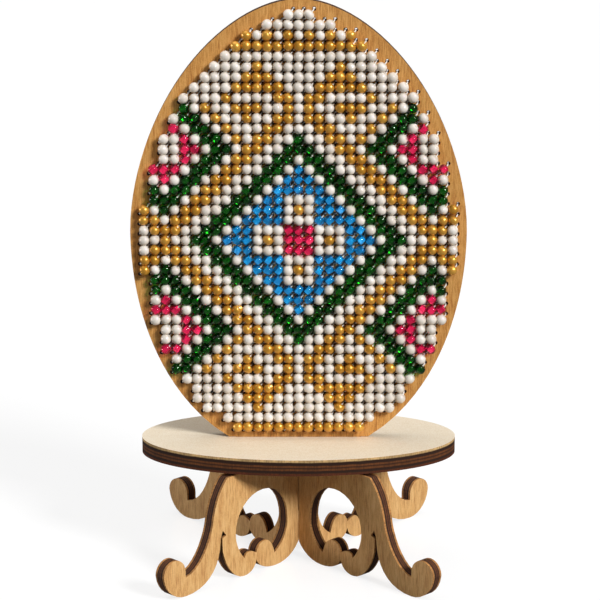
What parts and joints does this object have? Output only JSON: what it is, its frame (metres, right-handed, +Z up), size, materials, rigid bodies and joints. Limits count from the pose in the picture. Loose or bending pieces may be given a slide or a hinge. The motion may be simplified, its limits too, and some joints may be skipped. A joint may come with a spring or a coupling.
{
  "type": "beaded easter egg on a scroll-legged stand",
  "caption": "Flat plywood egg sewn all over with glass beads in a folk pattern, standing in the slot of an oval plate on crossed scroll legs.",
  "frame": {"origin": "on the floor under the middle of the oval plate, midway between the four feet", "axes": "+Z up, -Y towards the beaded front, +X to the right seen from the front"},
  "size_m": [0.082, 0.0684, 0.1406],
  "materials": {
    "egg_plywood": "golden-brown stained birch plywood with burnt laser-cut edges and holes",
    "plate_plywood": "pale sanded birch plywood with a burnt laser-cut edge",
    "leg_plywood": "birch plywood with burnt laser-cut edges",
    "white_pearl_glass": "opaque white glass with a pearl lustre",
    "gold_metallic_glass": "glass with a pearly gold metallic coating",
    "green_lined_glass": "clear glass with a dark green lining in its hole",
    "blue_lined_glass": "clear glass with a bright blue lining in its hole",
    "pink_lined_glass": "clear glass with a magenta-pink lining in its hole",
    "white_thread": "white polyester sewing thread"
  },
  "bodies": {
    "stand": {"oval_plate": "plate_plywood", "leg_panel_left": "leg_plywood", "leg_panel_right": "leg_plywood"},
    "egg": {"egg_board": "egg_plywood", "flower_white_beads": "white_pearl_glass", "flower_gold_beads": "gold_metallic_glass", "flower_blue_beads": "blue_lined_glass", "flower_pink_beads": "pink_lined_glass", "diamond_white_beads": "white_pearl_glass", "diamond_green_beads": "green_lined_glass", "band_white_beads": "white_pearl_glass", "band_gold_beads": "gold_metallic_glass", "side_white_beads_left": "white_pearl_glass", "side_white_beads_right": "white_pearl_glass", "side_gold_beads_left": "gold_metallic_glass", "side_gold_beads_right": "gold_metallic_glass", "side_green_beads_left": "green_lined_glass", "side_green_beads_right": "green_lined_glass", "side_pink_beads_left": "pink_lined_glass", "side_pink_beads_right": "pink_lined_glass", "tulip_white_beads_upper": "white_pearl_glass", "tulip_white_beads_lower": "white_pearl_glass", "tulip_gold_beads_upper": "gold_metallic_glass", "tulip_gold_beads_lower": "gold_metallic_glass", "crown_white_beads": "white_pearl_glass", "crown_gold_beads": "gold_metallic_glass", "foot_white_beads": "white_pearl_glass", "foot_gold_beads": "gold_metallic_glass", "front_stitches_upper": "white_thread", "front_stitches_lower": "white_thread", "back_thread_upper": "white_thread", "back_thread_lower": "white_thread"}
  },
  "joints": [
    {"name": "egg_lift", "type": "slide", "parent": "stand", "child": "egg", "axis": [0, 0, 1], "range_m": [0, 0.006]}
  ]
}
